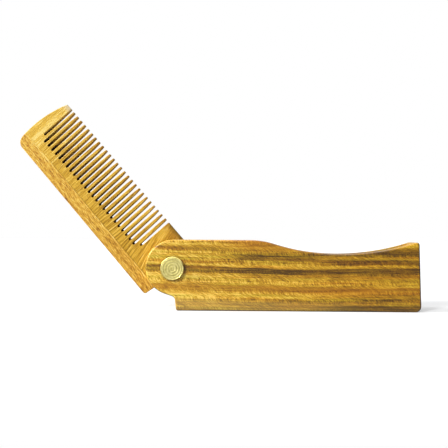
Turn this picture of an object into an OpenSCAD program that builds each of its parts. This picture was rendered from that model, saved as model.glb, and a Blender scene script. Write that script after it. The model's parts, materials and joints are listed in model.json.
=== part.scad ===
// Folding beard comb: a wooden comb that turns about a brass screw post and folds,
// teeth first, into the slot of a wooden handle made of two scales glued on a spacer.
// Millimetres. +X runs along the handle to its square end, +Z is up, the front face looks
// along -Y. The origin is on the flat bottom edge, midway along the handle.
// Handle outlines are drawn about the pivot, with x along the handle and y up. Comb
// outlines are drawn folded, also about the pivot: x to the far end, y to the spine.

/* [Handle] */
// Length of the handle, round end to square end
handle_len = 120.5; // [116.5:0.5:126]
// Thickness of the handle across both scales
handle_t = 12.5; // [12:0.5:15]
// Width of the slot that the comb folds into
slot_w = 4.9; // [4.9:0.1:5.5]
// Height of the pivot above the flat bottom edge
pivot_h = 18.4; // [18:0.1:20]
// Height of the flat top edge above the pivot
top_h = 12.5; // [12.4:0.1:13]
// How far the round end reaches beyond the pivot
round_reach = 11.8; // [11.7:0.1:12.1]
// Radius of the round end
round_r = 12.1; // [12.1:0.05:12.4]
// Radius of the soft edges around each scale
edge_r = 0.8; // [0.4:0.1:0.8]

/* [Finger scoop] */
// Where the scoop starts, along the handle from the pivot
scoop_start = 34.5; // [31:0.5:36]
// Where the scoop is deepest, along the handle from the pivot
scoop_low = 73; // [71:0.5:75]
// Depth of the scoop below the flat top edge
scoop_depth = 5.8; // [4:0.1:6.5]
// How far the corner at the square end stays below the flat top edge
corner_drop = 0.5; // [0.2:0.1:0.8]

/* [Notch] */
// Slope of the handle's belly towards the notch, in degrees
belly_slope = 18.5; // [17:0.5:22]
// Distance of the notch face from the pivot, along the handle
notch_x = 1.2; // [1.2:0.05:1.4]
// Height of the solid web under the slot
web_h = 6.3; // [6:0.05:6.4]

/* [Comb] */
// Distance of the spine's edge from the pivot
spine_h = 17.1; // [17:0.1:17.4]
// Height of the spine strip
strip_h = 5.6; // [4.8:0.1:5.6]
// Distance of the far end from the pivot
comb_reach = 88.4; // [87.4:0.1:89]
// Thickness of the comb at its spine and at its pivot
comb_t = 4.2; // [4:0.1:4.2]
// Thickness of the comb at the tips of its teeth
tip_t = 2.4; // [1.8:0.1:2.6]
// Angle that the comb is opened by, from folded
open_angle = 130.5; // [0:0.5:180]

/* [Teeth] */
// Number of teeth between the two solid guards
teeth = 26; // [20:1:28]
// Place of the first slot between teeth, from the pivot
first_slot = 16.9; // [16.8:0.1:17.4]
// Place of the last slot between teeth, from the pivot
last_slot = 81.9; // [81.2:0.1:82.1]
// How much closer the teeth stand at the far end than at the heel, as a share
crowding = 0.04; // [0:0.01:0.08]
// Lean of the teeth towards the far end, in degrees
tooth_lean = 2; // [0:0.5:2.5]
// Width of each slot at its round root
kerf = 1; // [0.8:0.05:1.1]

/* [Pivot] */
// Diameter of the brass heads
head_d = 10.2; // [9:0.1:10.6]
// Height of the brass heads
head_t = 1.6; // [1.2:0.1:2]
// Diameter of the screw post's barrel
barrel_d = 5; // [4.5:0.1:5.5]

/* [Hidden] */

$fn = 48;
fit = 0.05;            // radial clearance around the barrel
washer_t = 0.3;
washer_d = 9.4;
screw_d = 3;
edge_steps = 4;        // facets across each soft edge
tiny = 0.01;

sandalwood = "#B3883A";
sandalwood_end = "#A67C33";
comb_wood = "#CFA03B";
spine_wood = "#EDBD4C";
brass = "#D9CC7D";

pivot_x = round_reach - handle_len / 2;
half_t = handle_t / 2;
half_slot = slot_w / 2;
scale_t = half_t - half_slot;
end_x = handle_len - round_reach;   // square end, along the handle from the pivot
floor_y = web_h - pivot_h;          // floor of the slot

// Points of an arc about c, from angle a0 to angle a1.
function arc(c, r, a0, a1, n = 10) =
    [for (i = [0:n]) let (a = a0 + (a1 - a0) * i / n) c + r * [cos(a), sin(a)]];

// ---- Handle outline ----

round_c = [round_r - round_reach, top_h - round_r];

// The scoop is four tangent arcs: two share the drop from the flat edge, and two the rise.
low = [scoop_low, top_h - scoop_depth];
crest_share = 0.26;                 // share of the drop's arc length that is convex
corner_share = 0.04;                // the same for the rise
corner_flat = 1.8;                  // distance of the rise from the foot of the square end
rise_end = end_x - corner_flat;
rise = scoop_depth - corner_drop;
drop_angle = 2 * atan(scoop_depth / (scoop_low - scoop_start));
drop_r = (scoop_low - scoop_start) / sin(drop_angle);
rise_angle = 2 * atan(rise / (rise_end - scoop_low));
rise_r = (rise_end - scoop_low) / sin(rise_angle);

function scoop() = concat(
    arc([scoop_start, top_h - crest_share * drop_r], crest_share * drop_r, 90, 90 - drop_angle, 6),
    arc(low + [0, (1 - crest_share) * drop_r], (1 - crest_share) * drop_r,
        270 - drop_angle, 270, 10),
    arc(low + [0, (1 - corner_share) * rise_r], (1 - corner_share) * rise_r,
        270, 270 + rise_angle, 10),
    arc([rise_end, low[1] + rise - corner_share * rise_r], corner_share * rise_r,
        90 + rise_angle, 90, 4)
);

// The square end leans out a little towards its foot.
top_corner_r = 1;
foot_corner_r = 2.5;
end_lean = 0.8;
function square_end() = concat(
    arc([end_x - end_lean - top_corner_r, top_h - corner_drop - top_corner_r],
        top_corner_r, 90, 0, 4),
    arc([end_x - foot_corner_r, foot_corner_r - pivot_h], foot_corner_r, 0, -90, 8)
);

// The notch: the belly runs on in a straight slope, then a fillet turns down the notch face.
notch_r = 2;
notch_foot_r = 0.9;
notch_lean = 0.45;
belly_end = round_c + round_r * [-sin(belly_slope), -cos(belly_slope)];
fillet_x = notch_x - notch_r;
fillet_c = [
    fillet_x,
    belly_end[1] - tan(belly_slope) * (fillet_x - belly_end[0]) - notch_r / cos(belly_slope),
];
function notch_foot() =
    arc([notch_x + notch_lean + notch_foot_r, notch_foot_r - pivot_h], notch_foot_r, 270, 180, 4);

function handle_outline() = concat(
    scoop(),
    square_end(),
    notch_foot(),
    arc(fillet_c, notch_r, 0, 90 - belly_slope, 6),
    arc(round_c, round_r, 270 - belly_slope, 90, 24)
);

// ---- Comb outline, folded ----

tip_heel = -11.4;                   // tooth tips at the heel guard
tip_far = -10.5;                    // tooth tips at the far guard
guard_x = 16.5;                     // corner of the heel guard
heel_c = [0.4, 0];
heel_r = 11.6;
heel_x = -0.8;                      // where the heel face would meet the spine's edge
heel_lean = 6;                      // lean of the heel face, in degrees
heel_turn = 99;                     // where the heel face meets the heel's arc
heel_corner_r = 1.2;
heel_corner_x = heel_x + heel_corner_r * (1 - sin(heel_lean)) / cos(heel_lean);
far_r = 57;
far_c = [comb_reach - far_r, 5.5];  // the far end is an arc about this place
corner_r = 4;                       // rounds the far end into the spine's edge
corner_turn = asin((spine_h - corner_r - far_c[1]) / (far_r - corner_r));
corner_c = far_c + (far_r - corner_r) * [cos(corner_turn), sin(corner_turn)];
joint_y = spine_h - strip_h;

function comb_outline() = concat(
    arc([heel_corner_x, spine_h - heel_corner_r], heel_corner_r, 90, 180 - heel_lean, 4),
    arc(heel_c, heel_r, heel_turn, 270, 20),
    [[guard_x, tip_heel]],
    arc(far_c, far_r, asin((tip_far - far_c[1]) / far_r), corner_turn, 10),
    arc(corner_c, corner_r, corner_turn, 90, 5)
);

// Wedge section of the comb: full thickness at the spine, thin at the tips.
wedge_y = 3;                        // the faces taper from here to the tips of the teeth
module comb_wedge() {
    reach = comb_reach + 5;
    deep = tip_heel - 1;
    rotate([90, 0, 90])
        translate([0, 0, -15])
            linear_extrude(reach + 15)
                polygon([
                    [-comb_t / 2, spine_h + 1], [-comb_t / 2, wedge_y], [-tip_t / 2, deep],
                    [tip_t / 2, deep], [comb_t / 2, wedge_y], [comb_t / 2, spine_h + 1],
                ]);
}

// The hub stays at full thickness, so that both washers have a flat face to bear on.
hub_r = 6;
module comb_section() {
    comb_wedge();
    cross_slab(comb_t) circle(hub_r);
}

// A slab of the given thickness across the handle, centred on its middle plane.
module cross_slab(t) {
    translate([0, t / 2, 0]) rotate([90, 0, 0]) linear_extrude(t) children();
}

// A cylinder along Y between two places.
module rod(y0, y1, d) {
    translate([0, y0, 0]) rotate([-90, 0, 0]) cylinder(h = y1 - y0, d = d);
}

// Puts what is drawn about the pivot in its place on the handle.
module at_pivot() {
    translate([pivot_x, 0, pivot_h]) children();
}

// Turns what is drawn folded about the pivot to the opened place.
module opened() {
    at_pivot() rotate([0, -open_angle, 0]) children();
}

// ---- Handle ----

// A closed outline without its repeated points.
function distinct(p) =
    [for (i = [0:len(p) - 1]) if (norm(p[i] - p[(i + len(p) - 1) % len(p)]) > tiny) p[i]];

// Unit normal that points into a clockwise outline, for the side that leaves point i.
function inward(p, i) = let (d = p[(i + 1) % len(p)] - p[i]) [d[1], -d[0]] / norm(d);

// A clockwise outline moved inwards by the given distance, point by point.
function inset(p, distance) = [
    for (i = [0:len(p) - 1])
        let (a = inward(p, (i + len(p) - 1) % len(p)), b = inward(p, i))
            p[i] + distance * (a + b) / (1 + a * b)
];

// One scale, with its inner face at y = 0 and its soft outer edge towards -Y. Both faces
// fan out from the heart, a place from which the whole outline can be seen.
heart = [scoop_low - 12.5, -14];
module scale_plate() {
    outline = distinct(handle_outline());
    n = len(outline);
    soft = [for (k = [0:edge_steps]) 90 * k / edge_steps];
    rings = concat([[0, 0]], [for (a = soft) [edge_r * (1 - cos(a)), scale_t - edge_r * (1 - sin(a))]]);
    last = len(rings) - 1;
    points = concat(
        [for (r = rings) for (q = inset(outline, r[0])) [q[0], -r[1], q[1]]],
        [[heart[0], 0, heart[1]], [heart[0], -scale_t, heart[1]]]
    );
    inner_heart = (last + 1) * n;
    sides = [
        for (k = [0:last - 1]) for (i = [0:n - 1])
            let (j = (i + 1) % n) [k * n + i, k * n + j, (k + 1) * n + j, (k + 1) * n + i]
    ];
    inner = [for (i = [0:n - 1]) [(i + 1) % n, i, inner_heart]];
    outer = [for (i = [0:n - 1]) [last * n + i, last * n + (i + 1) % n, inner_heart + 1]];
    difference() {
        polyhedron(points, concat(sides, inner, outer));
        rod(-scale_t - 1, 1, barrel_d + 2 * fit);
    }
}

module scale_front() {
    color(sandalwood) at_pivot() translate([0, -half_slot, 0]) scale_plate();
}

module scale_back() {
    color(sandalwood) at_pivot() mirror([0, 1, 0]) translate([0, -half_slot, 0]) scale_plate();
}

// The slot swept clear for the comb, left open at the notch. Its far end is round, and its
// near end is the stop face, which the comb's heel meets when it is fully open.
slot_end = 4.6;                     // wood left beyond the slot at the top edge
slot_r = 20;                        // rounds the slot's floor into its far end
stop_gap = 0.15;                    // play at the open stop
stop_h = 5.1;                       // height of the stop face
function stop_face(y) = [stop_gap / cos(heel_lean) - heel_x + tan(heel_lean) * (spine_h + y), y];

function slot_outline() =
    let (end = end_x - slot_end) concat(
        [[-2 * round_r, 2 * top_h], [-2 * round_r, floor_y - stop_h]],
        [stop_face(floor_y - stop_h), stop_face(floor_y)],
        arc([end - slot_r, floor_y + slot_r], slot_r, 270, 360, 16),
        [[end, 2 * top_h]]
    );

// The spacer is the web under the slot and the block that closes the slot's far end.
module spacer() {
    color(sandalwood_end) at_pivot() cross_slab(slot_w)
        difference() {
            polygon(handle_outline());
            polygon(slot_outline());
        }
}

// ---- Comb ----

tongue_t = 1.4;
tongue_h = 1.8;
tongue_inset = 6;                   // the tongue stops this far short of both end faces
module tongue() {
    translate([tongue_inset, -tongue_t / 2, joint_y - 1])
        cube([comb_reach - 2 * tongue_inset, tongue_t, tongue_h + 1]);
}

module comb_blank() {
    intersection() {
        cross_slab(comb_t) polygon(comb_outline());
        comb_section();
    }
}

module above_joint() {
    translate([-20, -comb_t, joint_y]) cube([comb_reach + 40, 2 * comb_t, 20]);
}

module comb_spine() {
    color(spine_wood) opened()
        difference() {
            intersection() {
                comb_blank();
                above_joint();
            }
            tongue();
        }
}

module comb_tooth_board() {
    color(comb_wood) opened()
        difference() {
            comb_blank();
            difference() {
                above_joint();
                tongue();
            }
            tooth_slots();
            rod(-comb_t, comb_t, barrel_d + 2 * fit);
        }
}

root_heel = 6.9;                    // slot roots at the heel
root_far = 8;                       // slot roots at the far end
end_short = 2.1;                    // the two end slots stop this much lower
module tooth_slots() {
    for (i = [0:teeth]) {
        u = i / teeth;
        along = u * (1 + crowding / 2 * (1 - u));
        x = first_slot + (last_slot - first_slot) * along;
        at_end = i == 0 || i == teeth;
        root = root_heel + (root_far - root_heel) * u - (at_end ? end_short : 0);
        translate([x, 0, root - kerf / 2]) rotate([0, -tooth_lean, 0]) tooth_slot();
    }
}

// One slot between teeth, drawn about the middle of its round root and open downwards. It
// widens slowly down to the shoulders of the teeth, and then more quickly to their tips.
shoulder_depth = 14.5;
shoulder_widen = 0.3;
slot_reach = 22;
mouth_widen = 1.3;
module tooth_slot() {
    shoulder = (kerf + shoulder_widen) / 2;
    mouth = (kerf + mouth_widen) / 2;
    rod(-comb_t, comb_t, kerf);
    cross_slab(2 * comb_t)
        polygon([
            [-kerf / 2, 0], [-shoulder, -shoulder_depth], [-mouth, -slot_reach],
            [mouth, -slot_reach], [shoulder, -shoulder_depth], [kerf / 2, 0],
        ]);
}

// ---- Pivot ----

rim = 0.3;                          // bevel around the brass heads
module head() {
    rotate([90, 0, 0])
        rotate_extrude()
            polygon([
                [0, 0], [head_d / 2, 0], [head_d / 2, head_t - rim],
                [head_d / 2 - rim, head_t], [0, head_t],
            ]);
}

barrel_short = 0.4;                 // the barrel ends this far inside the back scale
thread_depth = 9;
module pivot_post() {
    barrel_end = half_t - barrel_short;
    color(brass) at_pivot()
        difference() {
            union() {
                translate([0, -half_t, 0]) head();
                rod(-half_t - tiny, barrel_end, barrel_d);
            }
            rod(barrel_end - thread_depth, barrel_end + 1, screw_d + 2 * fit);
        }
}

shank_len = 8;
driver_w = 1;
driver_deep = 0.8;
module pivot_screw() {
    color(brass) at_pivot() mirror([0, 1, 0])
        difference() {
            union() {
                translate([0, -half_t, 0]) head();
                rod(-half_t - tiny, shank_len - half_t, screw_d);
            }
            translate([-head_d, -half_t - head_t - 1, -driver_w / 2])
                cube([2 * head_d, driver_deep + 1, driver_w]);
        }
}

module washer() {
    difference() {
        rod(-half_slot, washer_t - half_slot, washer_d);
        rod(-half_slot - 1, half_slot, barrel_d + 2 * fit);
    }
}

module washer_front() {
    color(brass) at_pivot() washer();
}

module washer_back() {
    color(brass) at_pivot() mirror([0, 1, 0]) washer();
}

scale_front();
scale_back();
spacer();
comb_spine();
comb_tooth_board();
pivot_post();
pivot_screw();
washer_front();
washer_back();
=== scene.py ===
"""Folding beard comb, at rest half open on a white table.

Outlines are drawn in millimetres about the pivot: x along the handle or the comb, z up or towards
the spine. The comb's are drawn folded. Meshes are scaled to metres at the end.
"""

import json
import math

import bmesh
import bpy
from mathutils import Matrix, Vector
from mathutils.geometry import tessellate_polygon


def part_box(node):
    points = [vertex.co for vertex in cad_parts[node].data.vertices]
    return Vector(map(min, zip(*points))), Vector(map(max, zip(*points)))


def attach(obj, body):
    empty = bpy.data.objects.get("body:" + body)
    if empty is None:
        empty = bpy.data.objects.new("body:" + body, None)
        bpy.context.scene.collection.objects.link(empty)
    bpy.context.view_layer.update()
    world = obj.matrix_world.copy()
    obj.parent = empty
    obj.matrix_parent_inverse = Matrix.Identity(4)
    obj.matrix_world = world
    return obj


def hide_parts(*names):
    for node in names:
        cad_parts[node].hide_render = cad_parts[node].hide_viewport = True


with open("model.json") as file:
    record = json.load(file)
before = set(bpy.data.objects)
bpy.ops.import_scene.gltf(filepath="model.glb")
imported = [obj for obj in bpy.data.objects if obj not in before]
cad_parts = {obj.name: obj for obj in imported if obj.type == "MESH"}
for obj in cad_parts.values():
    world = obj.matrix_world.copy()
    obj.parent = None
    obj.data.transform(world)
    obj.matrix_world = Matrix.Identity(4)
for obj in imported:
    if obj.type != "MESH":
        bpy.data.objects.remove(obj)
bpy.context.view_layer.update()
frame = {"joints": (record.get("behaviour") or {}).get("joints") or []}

MM = 0.001
TINY = 1e-4
CLOSE = 0.01            # points of an outline that are closer than this are one point

# ---- Sizes from the frame, in millimetres about the pivot ----

joint = frame["joints"][0]
PIVOT = Vector(joint["pos_m"])
OPEN = math.radians(joint["range_deg"][1])    # from folded to the place at rest


def about_pivot(node):
    """Lowest and highest corner of a CAD node, in millimetres about the pivot."""
    return [(corner - PIVOT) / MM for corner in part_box(node)]


scale_lo, scale_hi = about_pivot("scale_front")
ROUND_REACH = -scale_lo.x
END_X = scale_hi.x
TOP = scale_hi.z
FOOT = scale_lo.z
HALF_T = -scale_lo.y
HALF_SLOT = -scale_hi.y
COMB_HALF = about_pivot("comb_spine")[1].y
post_lo, post_hi = about_pivot("pivot_post")
HEAD_R = post_hi.x
HEAD_TOP = -post_lo.y
BARREL_END = post_hi.y
WASHER_R = about_pivot("washer_front")[1].x
WASHER_FACE = -about_pivot("washer_front")[1].y


# ---- Outlines ----

def arc(centre, r, start, end, n=10):
    """Points of an arc, with its angles in degrees."""
    turns = [math.radians(start + (end - start) * i / n) for i in range(n + 1)]
    return [Vector(centre) + r * Vector((math.cos(a), math.sin(a))) for a in turns]


def circle(r, n=64):
    """A ring that runs anticlockwise, as the edge of a hole does."""
    return arc((0, 0), r, 0, 360, n)[:-1]


def fillet(before, corner, after, r, n=5):
    """An arc of radius r that rounds the corner between two lines."""
    a = (before - corner).normalized()
    b = (after - corner).normalized()
    half = a.angle(b) / 2
    centre = corner + (a + b).normalized() * (r / math.sin(half))
    first = corner + a * (r / math.tan(half)) - centre
    last = corner + b * (r / math.tan(half)) - centre
    return [centre + r * first.lerp(last, i / n).normalized() for i in range(n + 1)]


def crossing(p, q, a, b):
    """Where the line through p and q meets the line through a and b."""
    d, e = q - p, b - a
    return p + d * ((a - p).cross(e) / d.cross(e))


def distinct(outline):
    """A closed outline without its repeated points."""
    return [p for i, p in enumerate(outline) if (p - outline[i - 1]).length > CLOSE]


def inset(outline, distance):
    """A clockwise outline moved into the wood, point by point."""
    n = len(outline)
    sides = [(outline[(i + 1) % n] - outline[i]).normalized() for i in range(n)]
    into = [Vector((d.y, -d.x)) for d in sides]
    return [
        outline[i] + distance * (into[i - 1] + into[i]) / (1 + into[i - 1].dot(into[i]))
        for i in range(n)
    ]


# ---- Handle outline ----

ROUND_R = 12.1
ROUND_C = Vector((ROUND_R - ROUND_REACH, TOP - ROUND_R))
SCOOP_START = 34.5
SCOOP_LOW = 73
SCOOP_DEPTH = 5.8
LOW = Vector((SCOOP_LOW, TOP - SCOOP_DEPTH))
CREST_SHARE = 0.26      # the crest's radius, as a share of the crest's and the hollow's together
CORNER_SHARE = 0.04     # the same for the bend at the top corner
CORNER_FLAT = 1.8
CORNER_DROP = 0.5
END_LEAN = 0.8
TOP_CORNER_R = 1
FOOT_CORNER_R = 2.5
NOTCH_X = 1.2           # the notch's wall, at its top
NOTCH_R = 2
NOTCH_LEAN = 0.45       # how far the wall goes towards the square end on its way down
NOTCH_FOOT_R = 0.9
BELLY_SLOPE = 18.5      # in degrees, from the round end to the notch


def scoop():
    """The top edge from the start of the finger scoop: four tangent arcs down and up again."""
    run = LOW.x - SCOOP_START
    down = 2 * math.atan(SCOOP_DEPTH / run)
    down_r = run / math.sin(down)
    rise_run = END_X - CORNER_FLAT - LOW.x
    rise = SCOOP_DEPTH - CORNER_DROP
    up = 2 * math.atan(rise / rise_run)
    up_r = rise_run / math.sin(up)
    down, up = math.degrees(down), math.degrees(up)
    crest_r = CREST_SHARE * down_r
    corner_r = CORNER_SHARE * up_r
    hollow_r, rise_r = down_r - crest_r, up_r - corner_r
    return [
        *arc((SCOOP_START, TOP - crest_r), crest_r, 90, 90 - down, 16),
        *arc((LOW.x, LOW.y + hollow_r), hollow_r, 270 - down, 270, 24),
        *arc((LOW.x, LOW.y + rise_r), rise_r, 270, 270 + up, 24),
        *arc((END_X - CORNER_FLAT, LOW.y + rise - corner_r), corner_r, 90 + up, 90, 8),
    ]


def square_end():
    """The two rounded corners of the square end, which leans in a little at the top."""
    corner = (END_X - END_LEAN - TOP_CORNER_R, TOP - CORNER_DROP - TOP_CORNER_R)
    foot = (END_X - FOOT_CORNER_R, FOOT + FOOT_CORNER_R)
    return [*arc(corner, TOP_CORNER_R, 90, 0, 8), *arc(foot, FOOT_CORNER_R, 0, -90, 12)]


def notch_foot():
    """The rounded corner where the notch meets the bottom edge."""
    centre = (NOTCH_X + NOTCH_LEAN + NOTCH_FOOT_R, FOOT + NOTCH_FOOT_R)
    return arc(centre, NOTCH_FOOT_R, 270, 180, 8)


def handle_outline():
    """Clockwise from the start of the scoop: square end, notch, belly and round end."""
    slope = math.radians(BELLY_SLOPE)
    belly_end = ROUND_C - ROUND_R * Vector((math.sin(slope), math.cos(slope)))
    x = NOTCH_X - NOTCH_R
    drop = math.tan(slope) * (x - belly_end.x) + NOTCH_R / math.cos(slope)
    notch = arc((x, belly_end.y - drop), NOTCH_R, 0, 90 - BELLY_SLOPE, 10)
    round_end = arc(ROUND_C, ROUND_R, 270 - BELLY_SLOPE, 90, 56)
    return distinct([*scoop(), *square_end(), *notch_foot(), *notch, *round_end])


# ---- Spacer outline: the web under the slot and the block at its far end ----

WEB = 6.3
WEB_TOP = FOOT + WEB
BLOCK = 4.6
SLOT_END = END_X - BLOCK
SLOT_R = 20
STOP_GAP = 0.15         # left between the open comb's heel and the stop face

# ---- Comb outline, folded ----

SPINE = 17.1
JOINT = 11.5
HEEL_C = Vector((0.4, 0))
HEEL_R = 11.6
HEEL_X = -0.8           # where the heel's straight edge would meet the spine
HEEL_LEAN = 6           # lean of that edge, in degrees
HEEL_TURN = 99          # where on its arc the heel starts, in degrees
HEEL_CORNER_R = 1.2
FAR_R = 57
FAR_X = 88.4
FAR_Z = 5.5
FAR_C = Vector((FAR_X - FAR_R, FAR_Z))
FAR_CORNER_R = 4
FAR_TIP_R = 0.25
TIP_FAR = -10.5         # height of the far guard's tip
TEETH = 26
FIRST_SLOT = 16.9
LAST_SLOT = 81.9
CROWDING = 0.04         # the teeth come closer together towards the far end
TOOTH_LEAN = math.radians(2)
KERF = 1                # width of a slot at its root
SHOULDER = 14.5         # each slot widens slowly down to here, and then more quickly
SHOULDER_WIDEN = 0.3
MOUTH_WIDEN = 1.3
SLOT_REACH = 22         # how far below its root a slot would be MOUTH_WIDEN wider
ROOT_HEEL = 6.9
ROOT_FAR = 8
END_SHORT = 2.1         # the first slot and the last one end lower than the others
TIP_R = 0.2


def stop_face(z):
    """The point at a height on the face that the open comb's heel stops against."""
    lean = math.radians(HEEL_LEAN)
    return Vector((STOP_GAP / math.cos(lean) - HEEL_X + math.tan(lean) * (SPINE + z), z))


def spacer_outline():
    """The web and the block, with the handle's own edge where they come to it."""
    handle = handle_outline()
    side = Vector((SLOT_END, 0)), Vector((SLOT_END, TOP))
    first = next(i for i, p in enumerate(handle) if p.x > SLOT_END)
    foot_arc = notch_foot()
    last = max(i for i, p in enumerate(handle) if (p - foot_arc[-1]).length < 2 * CLOSE)
    meet = crossing(*side, handle[first - 1], handle[first])
    stop = crossing(handle[last], handle[last + 1], stop_face(WEB_TOP), stop_face(FOOT))
    floor = arc((SLOT_END - SLOT_R, WEB_TOP + SLOT_R), SLOT_R, 270, 360, 32)
    return distinct([meet, *handle[first:last + 1], stop, stop_face(WEB_TOP), *floor])


def slot_sides(i, tips):
    """One slot between teeth, from its left mouth round its root to its right mouth."""
    u = i / TEETH
    along = u * (1 + CROWDING / 2 * (1 - u))
    short = END_SHORT if i in (0, TEETH) else 0
    root = ROOT_HEEL + (ROOT_FAR - ROOT_HEEL) * u - short - KERF / 2
    centre = Vector((FIRST_SLOT + (LAST_SLOT - FIRST_SLOT) * along, root))
    down = Vector((math.sin(TOOTH_LEAN), -math.cos(TOOTH_LEAN)))
    across = Vector((-down.y, down.x))
    sides = []
    for way in (-1, 1):
        shoulder = centre + down * SHOULDER + across * (way * (KERF + SHOULDER_WIDEN) / 2)
        mouth = centre + down * SLOT_REACH + across * (way * (KERF + MOUTH_WIDEN) / 2)
        tip = crossing(shoulder, mouth, *tips)
        beyond = tip + (tips[1] - tips[0]).normalized() * way
        corner = [shoulder, *fillet(shoulder, tip, beyond, TIP_R)]
        sides.append(corner[::-1] if way < 0 else corner)
    turn = math.degrees(TOOTH_LEAN)
    return [*sides[0], *arc(centre, KERF / 2, 180 + turn, turn, 10), *sides[1]]


def comb_outline():
    """Clockwise, with every slot between the teeth."""
    lean = math.radians(HEEL_LEAN)
    corner_x = HEEL_X + HEEL_CORNER_R * (1 - math.sin(lean)) / math.cos(lean)
    heel_corner = arc((corner_x, SPINE - HEEL_CORNER_R), HEEL_CORNER_R, 90, 180 - HEEL_LEAN, 8)
    heel = arc(HEEL_C, HEEL_R, HEEL_TURN, 270, 48)
    turn = math.asin((SPINE - FAR_CORNER_R - FAR_C.y) / (FAR_R - FAR_CORNER_R))
    corner = FAR_C + (FAR_R - FAR_CORNER_R) * Vector((math.cos(turn), math.sin(turn)))
    turn = math.degrees(turn)
    far = arc(FAR_C, FAR_R, math.degrees(math.asin((TIP_FAR - FAR_C.y) / FAR_R)), turn, 32)
    tips = heel[-1], far[0]
    slots = [p for i in range(TEETH + 1) for p in slot_sides(i, tips)]
    far[:1] = fillet(tips[0], far[0], far[1], FAR_TIP_R)
    far_corner = arc(corner, FAR_CORNER_R, turn, 90, 12)
    return distinct([*heel_corner, *heel, *slots, *far, *far_corner][::-1])


# ---- Meshes ----

SUPPORT = 0.06          # width of the flat row beside each rounded edge, which keeps faces flat
EDGE_STEPS = 6
SHARP = math.radians(32)    # edges that turn more than this aren't smoothed


def lay(bm, outline, y):
    """A row of points along an outline, at one depth."""
    return [bm.verts.new((p.x, y, p.y)) for p in outline]


def bridge(bm, rows):
    """Faces between each row of points and the next."""
    for a, b in zip(rows, rows[1:]):
        for i in range(len(a)):
            bm.faces.new((a[i - 1], a[i], b[i], b[i - 1]))


def cap(bm, rows):
    """Fills the flat face inside the first row and outside the others."""
    points = [v for row in rows for v in row]
    for face in tessellate_polygon([[v.co for v in row] for row in rows]):
        bm.faces.new([points[i] for i in face])


def soft_edge(r, face, way):
    """(inset, y) of the rows from a flat face over its rounded edge and onto the side."""
    turns = [math.radians(90 * (1 - i / EDGE_STEPS)) for i in range(EDGE_STEPS + 1)]
    edge = [(r * (1 - math.cos(a)), face + way * r * (1 - math.sin(a))) for a in turns]
    return [(r + SUPPORT, face), *edge, (0, face + way * (r + SUPPORT))]


def side_rows(bm, outline, faces, radii):
    """The rows of points that carry one outline from the front face to the back one."""
    steps = soft_edge(radii[0], faces[0], 1) + soft_edge(radii[1], faces[1], -1)[::-1]
    rows = [lay(bm, inset(outline, distance), y) for distance, y in steps]
    bridge(bm, rows)
    return rows


def plate(faces, *edges):
    """A flat board from face to face. edges are (outline, radii): its own edge, then its holes'."""
    bm = bmesh.new()
    rows = [side_rows(bm, outline, faces, radii) for outline, radii in edges]
    cap(bm, [r[0] for r in rows])
    cap(bm, [r[-1] for r in rows])
    return bm


def lathe(profile, n=96):
    """A turned solid about the Y axis, from (radius, y) points that start and end on it."""
    bm = bmesh.new()
    rows = [lay(bm, circle(r, n), y) for r, y in profile[1:-1]]
    bridge(bm, rows)
    for row, (_, y) in ((rows[0], profile[0]), (rows[-1], profile[-1])):
        middle = bm.verts.new((0, y, 0))
        for i in range(n):
            bm.faces.new((row[i - 1], row[i], middle))
    return bm


def at_handle():
    """Puts what is drawn about the pivot in its place."""
    return Matrix.Translation(PIVOT)


def at_comb():
    """Turns what is drawn folded to its place at rest."""
    return at_handle() @ Matrix.Rotation(-OPEN, 4, "Y")


def put_in_scene(name, data):
    """A new object that holds a mesh, a light or a camera."""
    made = bpy.data.objects.new(name, data)
    bpy.context.scene.collection.objects.link(made)
    return made


def piece(node, bm, place, material):
    """Makes an object of a mesh drawn in millimetres, which stands for a CAD node."""
    bmesh.ops.remove_doubles(bm, verts=bm.verts, dist=TINY)
    bmesh.ops.recalc_face_normals(bm, faces=bm.faces)
    for face in bm.faces:
        face.smooth = True
    for edge in bm.edges:
        edge.smooth = edge.calc_face_angle(0) < SHARP
    bm.transform(Matrix.Scale(MM, 4))
    mesh = bpy.data.meshes.new(node + "_look")
    bm.to_mesh(mesh)
    bm.free()
    mesh.materials.append(material)
    made = put_in_scene(node + "_look", mesh)
    made.matrix_world = place
    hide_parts(node)
    return made


def carve(made, cutter):
    """Takes a solid drawn in millimetres out of a piece that stands in the handle."""
    cutter.transform(at_handle() @ Matrix.Scale(MM, 4))
    mesh = bpy.data.meshes.new("cutter")
    cutter.to_mesh(mesh)
    cutter.free()
    tool = put_in_scene("cutter", mesh)
    modifier = made.modifiers.new("cut", "BOOLEAN")
    modifier.object = tool
    modifier.solver = "EXACT"
    seen = made.evaluated_get(bpy.context.evaluated_depsgraph_get())
    carved = bpy.data.meshes.new_from_object(seen)
    made.modifiers.clear()
    made.data = carved
    bpy.data.objects.remove(tool)


# ---- Materials ----

SCREEN_GAMMA = 2.2


def rgb(red, green, blue):
    """A colour from its 0 to 255 screen values."""
    return [(c / 255) ** SCREEN_GAMMA for c in (red, green, blue)] + [1]


def span(stops):
    """The lowest and the highest place in a list of (place, shade)."""
    places = [at for at, _ in stops]
    return min(places), max(places)


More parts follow.
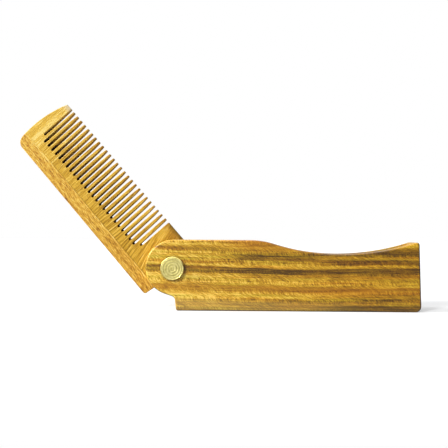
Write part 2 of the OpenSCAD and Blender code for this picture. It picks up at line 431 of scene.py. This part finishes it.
class Nodes:
    """A node tree, with short ways to add to it."""

    def __init__(self, tree):
        self.tree = tree

    def put(self, socket, value):
        """Links a socket to the one that value is, or gives it the value."""
        if isinstance(value, bpy.types.NodeSocket):
            self.tree.links.new(value, socket)
        else:
            socket.default_value = value

    def node(self, kind, values=(), **settings):
        """A new shader node with its settings and the values of its first sockets."""
        made = self.tree.nodes.new("ShaderNode" + kind)
        for key, value in settings.items():
            setattr(made, key, value)
        for socket, value in zip(made.inputs, values):
            self.put(socket, value)
        return made

    def math(self, operation, *values):
        return self.node("Math", values, operation=operation).outputs[0]

    def sum(self, *values):
        total = values[0]
        for value in values[1:]:
            total = self.math("ADD", total, value)
        return total

    def times(self, a, b):
        return self.math("MULTIPLY", a, b)

    def axes(self, vector):
        """x, y and z of a vector."""
        return self.node("SeparateXYZ", (vector,)).outputs[:]

    def between(self, value, low, high, start=0.0, end=1.0):
        """value from low to high turned into start to end, and held there."""
        values = (value, low, high, start, end)
        return self.node("MapRange", values, interpolation_type="SMOOTHSTEP").outputs[0]

    def fade(self, share, a, b):
        """A number from a to b."""
        made = self.node("Mix", data_type="FLOAT")
        for socket, value in ((0, share), (2, a), (3, b)):
            self.put(made.inputs[socket], value)
        return made.outputs[0]

    def mix(self, share, a, b, blend="MIX"):
        """A colour from a to b, or a multiplied by b."""
        made = self.node("Mix", data_type="RGBA", blend_type=blend)
        for socket, value in ((0, share), (6, a), (7, b)):
            self.put(made.inputs[socket], value)
        return made.outputs[2]


class Paint(Nodes):
    """A material, whose nodes work in millimetres about the pivot."""

    def __init__(self, name, specular=0.5, metallic=0.0):
        self.material = bpy.data.materials.new(name)
        self.material.use_nodes = True
        super().__init__(self.material.node_tree)
        self.shader = self.tree.nodes["Principled BSDF"]
        self.shader.inputs["Metallic"].default_value = metallic
        self.shader.inputs["Specular IOR Level"].default_value = specular

    def place(self):
        """x, y and z in millimetres about the pivot."""
        where = self.node("TexCoord").outputs["Object"]
        scaled = self.node("VectorMath", (where, (1 / MM,) * 3), operation="MULTIPLY")
        return self.axes(scaled.outputs[0])

    def facing(self):
        """x, y and z of the way that the surface faces, in the piece's own axes."""
        return self.axes(self.node("TexCoord").outputs["Normal"])

    def radius(self, x, z):
        """Distance from the pivot's axis."""
        return self.math("SQRT", self.sum(self.times(x, x), self.times(z, z)))

    def noise(self, place, scales, detail=2, roughness=0.5):
        """Noise from 0 to 1 about 0.5. scales are the features for each millimetre of place."""
        scaled = [self.times(along, scale) for along, scale in zip(place, scales)]
        where = self.node("CombineXYZ", scaled).outputs[0]
        made = self.node("TexNoise", noise_dimensions="3D")
        self.put(made.inputs["Vector"], where)
        for key, value in (("Scale", 1.0), ("Detail", detail), ("Roughness", roughness)):
            made.inputs[key].default_value = value
        return made.outputs["Fac"]

    def swing(self, noise, amount):
        """Noise turned into a change of up to amount each way."""
        return self.math("MULTIPLY_ADD", noise, 2 * amount, -amount)

    def ramp(self, value, stops, low=0.0, high=1.0):
        """A colour, or a shade of grey, for each value from low to high."""
        made = self.node("ValToRGB")
        made.color_ramp.interpolation = "EASE"
        points = made.color_ramp.elements
        for i, (at, colour) in enumerate(sorted(stops)):
            point = points[i] if i < 2 else points.new(1)
            point.position = (at - low) / (high - low)
            point.color = colour if isinstance(colour, list) else [colour] * 3 + [1]
        share = self.math("DIVIDE", self.math("SUBTRACT", value, low), high - low)
        self.put(made.inputs[0], share)
        return made.outputs[0]

    def finish(self, colour, roughness, height=None, depth=0.0):
        """Gives the shader its colour and roughness, and a bump of a depth in millimetres."""
        self.put(self.shader.inputs["Base Color"], colour)
        self.put(self.shader.inputs["Roughness"], roughness)
        if height is not None:
            bump = self.node("Bump")
            bump.inputs["Strength"].default_value = 1.0
            bump.inputs["Distance"].default_value = depth * MM
            self.put(bump.inputs["Height"], height)
            self.put(self.shader.inputs["Normal"], bump.outputs[0])
        return self.material


# Lightness of the handle's stripes, by height from the pivot in millimetres.
STRIPES_LEFT = [
    (12.5, 0.72), (10, 0.68), (8.4, 0.34), (7, 0.64), (4.6, 0.68), (2.8, 0.46), (1.6, 0.74),
    (0.9, 0.28), (-1.5, 0.22), (-2.4, 0.7), (-5.6, 0.72), (-7.6, 0.44), (-9, 0.5), (-10.4, 0.76),
    (-12.8, 0.9), (-14, 0.56), (-16.8, 0.56), (-18.5, 0.4),
]
STRIPES_MIDDLE = [
    (12.5, 0.34), (10, 0.4), (7.6, 0.46), (6.2, 0.2), (4.6, 0.22), (3.6, 0.58), (1.2, 0.56),
    (0.5, 0.1), (-1.4, 0.08), (-2.4, 0.52), (-6, 0.68), (-7.4, 0.32), (-9, 0.34), (-10.4, 0.72),
    (-12, 0.6), (-14, 0.42), (-18.5, 0.4),
]
STRIPES_RIGHT = [
    (12.5, 0.6), (10.2, 0.56), (8.6, 0.14), (7.2, 0.14), (6, 0.52), (5.2, 0.5), (4, 0.2),
    (3, 0.22), (2.2, 0.62), (1.6, 0.56), (0.6, 0.08), (-0.8, 0.1), (-1.8, 0.38), (-4.6, 0.5),
    (-6.8, 0.66), (-8.2, 0.36), (-9.6, 0.52), (-11, 0.44), (-12.6, 0.36), (-14.6, 0.38),
    (-15.8, 0.08), (-18.5, 0.08),
]
TO_MIDDLE = (14, 40)        # where along the handle the left stripes turn into the middle ones
TO_RIGHT = (50, 84)         # and those into the right ones
SANDALWOOD = [
    (0, rgb(78, 54, 16)), (0.2, rgb(124, 90, 24)), (0.4, rgb(164, 122, 32)),
    (0.6, rgb(196, 152, 48)), (0.8, rgb(222, 180, 72)), (1, rgb(242, 210, 116)),
]
OLIVE_TO_ORANGE = [
    (0.36, rgb(240, 250, 222)), (0.5, rgb(255, 252, 240)), (0.64, rgb(255, 238, 214)),
]
CREST_BROWN = rgb(182, 112, 30)
COPPER = rgb(186, 118, 34)
GREY_WOOD = rgb(176, 152, 104)
# Painted light and tint: lighter towards the round end, where the light comes from, and darker and
# yellower towards the square end.
LIT_LEFT_TINT = rgb(255, 254, 232)
DIM_RIGHT_TINT = rgb(232, 224, 150)
# Painted shade, for faces turned away from the light, the underside and the wood about the head.
PAINTED_SHADE_BROWN = rgb(58, 44, 20)
# The ring of painted shade about the head.
HEAD_SHADE_RING = 1.3             # width of the darker wood about the head


def stripe_height(p, x, deep, z):
    """Height among the stripes, which sink towards the square end and waver, and the waver."""
    bend = p.swing(p.noise((x, deep, z), (0.02, 0.06, 0.05)), 0.7)
    waver = p.swing(p.noise((x, deep, z), (0.09, 0.2, 0.3)), 0.28)
    sink = p.times(p.math("MINIMUM", x, 50), 0.024)
    return p.sum(z, sink, bend, waver, p.times(deep, 0.1)), waver


def stripes(p, x, height):
    """Lightness of the stripes, which change along the handle. The round end is paler, partly as
    painted light from the left and partly as paler wood.
    """
    left, middle, right = [
        p.ramp(height, stops, *span(stops))
        for stops in (STRIPES_LEFT, STRIPES_MIDDLE, STRIPES_RIGHT)
    ]
    shade = p.mix(p.between(x, *TO_MIDDLE), left, middle)
    shade = p.mix(p.between(x, *TO_RIGHT), shade, right)
    # Partly painted light: the round end is lifted paler, towards the light.
    return p.sum(shade, p.between(x, 2, -12, 0, 0.1))


def handle_tints(p, colour, x, deep, height):
    """Orange and olive bands, a browner crest, a copper band, greyer wood near the bottom, and a
    wash that is partly painted light falling off from the round end and partly the wood's tint.
    """
    warm = p.noise((x, deep, height), (0.02, 0.3, 0.55), roughness=0.6)
    colour = p.mix(1.0, colour, p.ramp(warm, OLIVE_TO_ORANGE), "MULTIPLY")
    crest = p.times(p.between(height, 7.5, 10), p.between(x, 12, 34))
    crest = p.times(crest, p.between(x, 70, 50, 0, 0.3))
    colour = p.mix(crest, colour, CREST_BROWN)
    copper = p.times(p.between(height, -6.4, -7.6), p.between(height, -10.8, -9.4))
    colour = p.mix(p.times(copper, 0.3), colour, COPPER)
    grey = p.times(p.between(height, -12.6, -15), p.between(x, 60, 92, 0.34, 0.1))
    colour = p.mix(grey, colour, GREY_WOOD)
    # Partly painted light: the wash lightens the round end and darkens the square end. It also
    # carries the wood's own tint.
    return p.mix(1.0, colour, p.mix(p.between(x, -12, 108), LIT_LEFT_TINT, DIM_RIGHT_TINT), "MULTIPLY")


def handle_painted_shade(p, x, z, right, up):
    """Painted shade: how dark the wood is on the square end's end grain, which faces away from the
    light, on the underside, and in a ring about the head, which the head shades.
    """
    # All of it is painted shade: faces that turn right, away from the light, the underside and the
    # wood about the head.
    end = p.times(p.between(right, 0.05, 0.4), p.between(right, 0.97, 1, 0.94, 0.7))
    dark = p.math("MAXIMUM", end, p.between(up, -0.2, -0.7, 0, 0.75))
    ring = p.between(p.radius(x, z), HEAD_R + HEAD_SHADE_RING, HEAD_R, 0, 0.5)
    return p.math("MAXIMUM", dark, ring)


def handle_wood(name, shift):
    """Striped wood with an interlocked grain. shift moves the stripes, so boards differ."""
    p = Paint(name, specular=0.4)
    x, y, z = p.place()
    deep = p.sum(y, shift)
    height, waver = stripe_height(p, x, deep, z)
    shade = stripes(p, x, height)

    # Short slanting flecks, steeper and flatter by turns as the grain changes its lean.
    lean = p.math("PINGPONG", p.sum(height, p.times(waver, 2)), 2.1)
    slant = p.sum(x, p.times(height, 1.25), p.times(lean, 0.85))
    fleck = p.noise((slant, deep, height), (1.7, 1.2, 0.7), roughness=0.6)
    fibre = p.noise((x, deep, height), (0.08, 2, 2), detail=3, roughness=0.7)
    streak = p.noise((x, deep, height), (0.03, 0.9, 0.9))
    pore = p.noise((slant, deep, height), (2.2, 4, 3.2), roughness=0.6)
    right, _, up = p.facing()
    strength = p.times(p.math("ADD", shade, 0.1), p.between(right, 0.97, 0.8, 0.3, 1))
    shade = p.sum(
        shade,
        p.times(p.swing(fleck, 1.1), strength),
        p.swing(fibre, 0.66),
        p.swing(streak, 0.22),
        p.swing(pore, 0.5),
    )
    colour = handle_tints(p, p.ramp(shade, SANDALWOOD), x, deep, height)
    # Painted shade on the square end, on the underside and about the head.
    colour = p.mix(handle_painted_shade(p, x, z, right, up), colour, PAINTED_SHADE_BROWN)
    rough = p.math("MULTIPLY_ADD", fibre, 0.2, 0.26)
    grain = p.sum(p.times(fibre, 0.6), p.times(pore, 0.5), p.times(fleck, 0.3))
    return p.finish(colour, rough, grain, depth=0.04)


COMB_GOLD = [
    (0, rgb(124, 88, 22)), (0.3, rgb(176, 130, 36)), (0.55, rgb(208, 162, 54)),
    (0.8, rgb(230, 187, 78)), (1, rgb(246, 216, 126)),
]
# Lightness of the tooth board, by x in millimetres.
COMB_SHADES = [(-12, 0.34), (10, 0.42), (24, 0.48), (60, 0.52), (88, 0.8)]
TIP_BROWN = rgb(178, 122, 54)
HEEL_SHADE = rgb(104, 82, 28)
GROOVE_BROWN = rgb(120, 82, 30)
# Painted highlight for the tip of the far guard.
GUARD_HIGHLIGHT = rgb(226, 208, 172)
# Darker sawn wood with painted shade, for the walls of the slots.
SAWN_WALL_AND_SHADE = rgb(70, 42, 14)
LAST_WALL = 83.4        # all the walls of the slots are to the left of this


def comb_tints(p, colour, x, z):
    """Darker brown tips, a shaded corner by the handle, the groove and a painted highlight on the
    tip of the far guard.
    """
    # Darker and browner towards the tips of the teeth.
    brown_tips = p.times(p.between(z, -6, -11), p.between(x, 84, 82))
    colour = p.mix(p.times(brown_tips, 0.45), colour, TIP_BROWN)
    shaded = p.times(p.between(z, -9.2, -11), p.between(x, 17, 14))
    colour = p.mix(p.times(shaded, 0.6), colour, HEEL_SHADE)
    groove = p.between(z, JOINT - 0.5, JOINT - 0.15)
    groove = p.times(groove, p.between(x, 86, 50, 0.05, 0.5))
    colour = p.mix(groove, colour, GROOVE_BROWN)
    # Painted highlight: a pale sheen on the tip of the far guard.
    pale = p.times(p.between(z, -7.6, -10), p.between(x, 80, 84))
    return p.mix(p.times(pale, 0.7), colour, GUARD_HIGHLIGHT)


def slot_walls(p, x, z):
    """1 on the walls of the slots, and 0 on the faces and on the outer edges of the board."""
    squarely = p.math("ABSOLUTE", p.facing()[1])
    wall = p.times(p.between(squarely, 0.72, 0.52), p.between(z, ROOT_FAR + 0.1, ROOT_FAR - 0.1))
    return p.times(wall, p.between(x, LAST_WALL + 0.4, LAST_WALL))


def comb_wood():
    """Golden wood whose grain runs along the teeth, and leans over towards the heel."""
    p = Paint("comb_wood", specular=0.22)
    x, y, z = p.place()
    near_heel = p.between(x, 30, 2)
    bend = p.swing(p.noise((x, y, z), (0.05, 0.1, 0.04)), 1.6)
    lean = p.times(p.math("MULTIPLY_ADD", near_heel, 0.42, 0.035), z)
    across = p.sum(x, lean, bend)
    wide = p.noise((across, y, z), (0.22, 0.3, 0.02))
    lines = p.noise((across, y, z), (2.3, 1.8, 0.07), detail=3, roughness=0.7)
    fibre = p.noise((across, y, z), (5, 5, 0.5), roughness=0.6)
    shade = p.sum(
        p.ramp(x, COMB_SHADES, *span(COMB_SHADES)),
        p.swing(wide, 0.3),
        p.times(p.swing(lines, 1.1), p.between(x, 92, 70, 0.6, 1)),
        p.swing(fibre, 0.45),
    )
    colour = comb_tints(p, p.ramp(shade, COMB_GOLD), x, z)

    # The sawn walls are rough and darker wood, with painted shade that deepens into the slots and
    # is darkest at their roots.
    wall = slot_walls(p, x, z)
    # Painted shade: darker deeper in the slots, darkest at the roots.
    dark = p.math("MAXIMUM", p.between(z, -10, 5, 0.12, 0.42), p.between(z, 3.8, 5.8, 0, 0.94))
    colour = p.mix(p.times(wall, dark), colour, SAWN_WALL_AND_SHADE)
    grain = p.times(p.sum(lines, fibre), p.between(wall, 0, 1, 1, 0.2))
    return p.finish(colour, p.between(wall, 0, 1, 0.4, 0.9), grain, depth=0.015)


SPINE_GOLD = [
    (0, rgb(118, 78, 24)), (0.3, rgb(176, 120, 38)), (0.55, rgb(212, 160, 56)),
    (0.8, rgb(234, 190, 82)), (1, rgb(246, 216, 122)),
]
SPINE_SHADES = [(-2, 0.46), (20, 0.5), (60, 0.52), (88, 0.66)]


def spine_wood():
    """Lighter wood with its grain along the spine, in short dark and orange dashes."""
    p = Paint("spine_wood", specular=0.3)
    x, y, z = p.place()
    bend = p.swing(p.noise((x, y, z), (0.06, 0.1, 0.1)), 1.2)
    height = p.sum(z, bend, p.times(x, -0.02))
    bands = p.noise((x, y, height), (0.03, 0.5, 0.8))
    lean = p.sum(height, p.times(x, 0.1))
    dashes = p.noise((x, y, lean), (0.42, 2, 3.1), detail=3, roughness=0.7)
    fibre = p.noise((x, y, height), (0.5, 5, 5), roughness=0.6)
    shade = p.sum(
        p.ramp(x, SPINE_SHADES, *span(SPINE_SHADES)),
        # Painted highlight: a lighter band along the spine just above the joint.
        p.times(p.between(z, JOINT + 0.9, JOINT + 0.3), 0.18),
        p.swing(bands, 0.34),
        p.swing(dashes, 1.15),
        p.swing(fibre, 0.4),
    )
    return p.finish(p.ramp(shade, SPINE_GOLD), 0.4, p.sum(dashes, fibre), depth=0.03)


BRASS = [(0.34, rgb(188, 174, 92)), (0.66, rgb(238, 225, 150))]


def turned_brass():
    """Pale satin brass with the fine rings that a lathe leaves."""
    p = Paint("turned_brass", metallic=1.0)
    x, y, z = p.place()
    rings = p.noise((p.radius(x, z), 0.0, y), (1.5, 1, 0.4), detail=3, roughness=0.7)
    wear = p.noise((x, y, z), (0.5, 0.5, 0.5), detail=3, roughness=0.6)
    shade = p.sum(p.times(rings, 0.6), p.times(wear, 0.4))
    rough = p.math("MULTIPLY_ADD", wear, 0.2, 0.2)
    return p.finish(p.ramp(shade, BRASS), rough, rings, depth=0.03)


# ---- Handle ----

EDGE_R = 0.8
INNER_EDGE_R = 0.1
BORE_R = 2.55
BORE_EDGE_R = 0.2


def scale(name, side, material):
    """One wooden scale, with its soft edge on the outside. side is -1 at the front."""
    faces = sorted((side * HALF_SLOT, side * HALF_T))
    radii = (EDGE_R, INNER_EDGE_R)[::-side]
    bm = plate(faces, (handle_outline(), radii), (circle(BORE_R), (BORE_EDGE_R,) * 2))
    return piece(name, bm, at_handle(), material)


def spacer(material):
    """The board between the scales, which the comb folds onto."""
    bm = plate((-HALF_SLOT, HALF_SLOT), (spacer_outline(), (INNER_EDGE_R / 2,) * 2))
    return piece("spacer", bm, at_handle(), material)


# ---- Comb ----

COMB_EDGE_R = 0.25
HUB_R = 6
HUB_POINTS = 72         # puts a point at the height where the faces start to taper
WEDGE_TOP = 3           # the faces taper from here to the tips
WEDGE_END = -8.5        # and more quickly from here
WEDGE_HALF = 1.43
TIP_HALF = 0.55
TIP_END = -11.5
TIP_CUTS = (0, 0.3, 0.55, 0.75, 0.9)    # where the tips' curve has points, as shares of it
GROOVE = 0.06
ROOT_RIDGE = 0.8        # how far the root of a slot comes down at mid thickness
BELOW_ROOTS = 3.5       # a height between the lowest root and the tips of the teeth


def comb_half(z):
    """Half the comb's thickness at a height."""
    if abs(z - JOINT) < TINY:
        return COMB_HALF - GROOVE
    if z > WEDGE_END:
        down = min(max((WEDGE_TOP - z) / (WEDGE_TOP - WEDGE_END), 0), 1)
        return COMB_HALF - (COMB_HALF - WEDGE_HALF) * down
    down = min((WEDGE_END - z) / (WEDGE_END - TIP_END), 1)
    return TIP_HALF + (WEDGE_HALF - TIP_HALF) * math.sqrt(1 - down * down)


def cut(bm, z, across=(0, 0, 1), **clear):
    """Cuts every face along a plane, level unless across says otherwise."""
    everything = bm.verts[:] + bm.edges[:] + bm.faces[:]
    bmesh.ops.bisect_plane(
        bm, geom=everything, dist=TINY, plane_co=(0, 0, z), plane_no=across, **clear
    )


def shape_roots(bm):
    """The saw leaves a ridge across the root of each slot, half way through the board."""
    cut(bm, 0, across=(0, 1, 0))
    for v in bm.verts:
        in_slot = FIRST_SLOT - KERF < v.co.x < LAST_SLOT + KERF and BELOW_ROOTS < v.co.z < JOINT
        if in_slot and abs(v.co.y) < TINY:
            v.co += ROOT_RIDGE * Vector((math.sin(TOOTH_LEAN), 0, -math.cos(TOOTH_LEAN)))


def taper(bm):
    """Gives the faces their wedge, the tips their curve and the joint its groove."""
    curve = [WEDGE_END + (TIP_END - WEDGE_END) * share for share in TIP_CUTS]
    for z in (JOINT + GROOVE, JOINT, JOINT - GROOVE, WEDGE_TOP, *curve):
        cut(bm, z)
    for v in bm.verts:
        if abs(v.co.y) > TINY:
            v.co.y -= math.copysign(COMB_HALF - comb_half(v.co.z), v.co.y)


def comb_blank():
    """The whole comb with its teeth, wedge faces and hub, as one solid."""
    bm = bmesh.new()
    faces = -COMB_HALF, COMB_HALF
    ring = circle(HUB_R, HUB_POINTS)
    rows = side_rows(bm, comb_outline(), faces, (COMB_EDGE_R,) * 2)
    front, back = [lay(bm, ring, y) for y in faces]
    cap(bm, [rows[0], front])
    cap(bm, [rows[-1], back])
    shape_roots(bm)
    taper(bm)

    # The hub keeps the full thickness.
    hub_front = lay(bm, ring, -COMB_HALF)
    bore = side_rows(bm, circle(BORE_R, HUB_POINTS), faces, (INNER_EDGE_R,) * 2)
    hub_back = lay(bm, ring, COMB_HALF)
    bridge(bm, [front, hub_front, bore[0]])
    bridge(bm, [bore[-1], hub_back, back])
    return bm


def close(bm):
    """Fills the flat opening that a cut has left."""
    bmesh.ops.holes_fill(bm, edges=[e for e in bm.edges if e.is_boundary])


def comb(spine_material, board_material):
    """The spine strip and the tooth board, which are one blank cut in two."""
    spine = comb_blank()
    cut(spine, JOINT, clear_inner=True)
    close(spine)
    board = comb_blank()
    cut(board, JOINT, clear_outer=True)
    close(board)
    return [
        piece("comb_spine", spine, at_comb(), spine_material),
        piece("comb_tooth_board", board, at_comb(), board_material),
    ]


# ---- Brass ----

RIM_R = 0.35
RIM_STEPS = 6
RIM_MARGIN = 0.15       # between the last groove and the rim
RIDGES = 4
RIDGE = 0.036           # half the height of a ridge
RIDGE_STEPS = 8
HEAD_BEVEL = 0.08
NECK_SINK = 0.02        # how far the underside of a head is pressed into the wood at its neck
BARREL_R = 2.5
BARREL_BEVEL = 0.3
THREAD_R = 1.55
THREAD_DEEP = 9
THREAD_BEVEL = 0.2
SCREW_R = 1.5
SHANK = 8
DRIVER_W = 1
DRIVER_DEEP = 0.8
WASHER_EDGE_R = 0.05


def head_profile():
    """The turned face of a head, from its middle to the wood: shallow rings and a round rim."""
    flat = HEAD_R - RIM_R - RIM_MARGIN
    steps = RIDGE_STEPS * RIDGES
    face = [
        (flat * i / steps, HEAD_TOP - RIDGE * (1 + math.cos(2 * math.pi * i / RIDGE_STEPS)))
        for i in range(steps + 1)
    ]
    turns = [math.radians(90 * i / RIM_STEPS) for i in range(RIM_STEPS + 1)]
    rim = [
        (HEAD_R - RIM_R * (1 - math.sin(a)), HEAD_TOP - RIM_R * (1 - math.cos(a)))
        for a in turns
    ]
    return [*face, *rim, (HEAD_R, HALF_T + HEAD_BEVEL), (HEAD_R - HEAD_BEVEL, HALF_T)]


def pivot_post(material):
    """The plain head and the barrel that the comb turns on, bored for the screw."""
    barrel = [
        (BARREL_R, HALF_T - NECK_SINK),
        (BARREL_R, BARREL_BEVEL - BARREL_END),
        (BARREL_R - BARREL_BEVEL, -BARREL_END),
    ]
    bore = [
        (THREAD_R + THREAD_BEVEL, -BARREL_END),
        (THREAD_R, THREAD_BEVEL - BARREL_END),
        (THREAD_R, THREAD_DEEP - BARREL_END),
        (0, THREAD_DEEP - BARREL_END),
    ]
    bm = lathe([(r, -y) for r, y in [*head_profile(), *barrel, *bore]])
    return piece("pivot_post", bm, at_handle(), material)


def pivot_screw(material):
    """The head on the back, with a driver slot, and the shank that the post holds."""
    shank = [
        (SCREW_R, HALF_T - NECK_SINK),
        (SCREW_R, HALF_T - SHANK + BARREL_BEVEL),
        (SCREW_R - BARREL_BEVEL, HALF_T - SHANK),
        (0, HALF_T - SHANK),
    ]
    bm = lathe([*head_profile(), *shank])
    made = piece("pivot_screw", bm, at_handle(), material)
    cutter = bmesh.new()
    bmesh.ops.create_cube(cutter, size=1)
    bmesh.ops.scale(cutter, vec=(3 * HEAD_R, 2 * DRIVER_DEEP, DRIVER_W), verts=cutter.verts)
    bmesh.ops.translate(cutter, vec=(0, HEAD_TOP, 0), verts=cutter.verts)
    carve(made, cutter)
    return made


def washer(name, faces, material):
    """A thin ring between the comb and a scale."""
    radii = (WASHER_EDGE_R,) * 2
    bm = plate(faces, (circle(WASHER_R)[::-1], radii), (circle(BORE_R), radii))
    return piece(name, bm, at_handle(), material)


# ---- Camera, light and table ----

LENS = 50
SENSOR = 36
CAMERA_PLACE = Vector((22.4, -277.5, 14.7))     # in millimetres about the pivot
CAMERA_TILT = 1.01      # degrees up from level
CAMERA_ROLL = -0.45     # degrees
# Between which directions the sky turns from its left to its right, and to what is above.
LEFT_TO_RIGHT = (-0.35, 0.4)
LEVEL_TO_ABOVE = (0.35, 0.8)
TABLE_HALF_M = 3
TABLE_WHITE = [(0.3, rgb(196, 197, 199)), (0.7, rgb(204, 205, 206))]


def camera():
    """Nearly level with the slot, and a little to the right of the pivot."""
    data = bpy.data.cameras.new("camera")
    data.lens = LENS
    data.sensor_width = SENSOR
    made = put_in_scene("camera", data)
    level = Matrix.Rotation(math.radians(90 + CAMERA_TILT), 4, "X")
    roll = Matrix.Rotation(math.radians(CAMERA_ROLL), 4, "Y")
    made.matrix_world = Matrix.Translation(PIVOT + CAMERA_PLACE * MM) @ roll @ level
    bpy.context.scene.camera = made


def sun(strength, direction, spread):
    """Even light that travels in a direction, from a patch of sky that is spread degrees wide."""
    data = bpy.data.lights.new("sun", "SUN")
    data.energy = strength
    data.angle = math.radians(spread)
    made = put_in_scene("sun", data)
    made.rotation_mode = "QUATERNION"
    made.rotation_quaternion = Vector(direction).to_track_quat("-Z", "Y")


def sky(ambient, left, right, above):
    """White where the camera sees it. It lights with ambient, and gloss shows the other three."""
    world = bpy.data.worlds.new("white_room")
    bpy.context.scene.world = world
    world.use_nodes = True
    nodes = Nodes(world.node_tree)
    path = nodes.node("LightPath").outputs
    x, _, z = nodes.axes(nodes.node("TexCoord").outputs["Generated"])
    sides = nodes.fade(nodes.between(x, *LEFT_TO_RIGHT), left, right)
    gloss = nodes.fade(nodes.between(z, *LEVEL_TO_ABOVE), sides, above)
    light = nodes.fade(path["Is Glossy Ray"], ambient, gloss)
    background = nodes.tree.nodes["Background"]
    background.inputs["Color"].default_value = (1, 1, 1, 1)
    nodes.put(background.inputs["Strength"], nodes.fade(path["Is Camera Ray"], light, 1.0))


def table(glow):
    """A pale table. Only the camera sees its glow, so it doesn't light the comb from below."""
    paint = Paint("table_white", specular=0.2)
    x, y, _ = paint.place()
    speck = paint.noise((x, y), (0.02, 0.02))
    seen = paint.node("LightPath").outputs["Is Camera Ray"]
    paint.shader.inputs["Emission Color"].default_value = (1, 1, 1, 1)
    paint.put(paint.shader.inputs["Emission Strength"], paint.times(seen, glow))
    mesh = bpy.data.meshes.new("table")
    bm = bmesh.new()
    bmesh.ops.create_grid(bm, x_segments=8, y_segments=8, size=TABLE_HALF_M)
    bm.to_mesh(mesh)
    bm.free()
    mesh.materials.append(paint.finish(paint.ramp(speck, TABLE_WHITE), roughness=0.6))
    made = put_in_scene("table", mesh)


# ---- The scene ----

bpy.context.scene.view_settings.view_transform = "Standard"
camera()
sky(ambient=0.08, left=1.35, right=0.1, above=3.4)
# One light from the front left, one that rakes from the left and a weak one from above.
sun(strength=2.62, direction=(0.5, 0.6, -0.45), spread=12)
sun(strength=3.2, direction=(0.85, 0.12, -0.42), spread=12)
sun(strength=0.3, direction=(0, 0.05, -1), spread=20)
table(glow=0.39)

brass = turned_brass()
handle = [
    scale("scale_front", -1, handle_wood("handle_wood_front", shift=0)),
    scale("scale_back", 1, handle_wood("handle_wood_back", shift=9)),
    spacer(handle_wood("spacer_wood", shift=22)),
    pivot_post(brass),
    pivot_screw(brass),
    washer("washer_front", (-HALF_SLOT, -WASHER_FACE), brass),
    washer("washer_back", (WASHER_FACE, HALF_SLOT), brass),
]
for made in handle:
    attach(made, "handle")
for made in comb(spine_wood(), comb_wood()):
    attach(made, "comb")
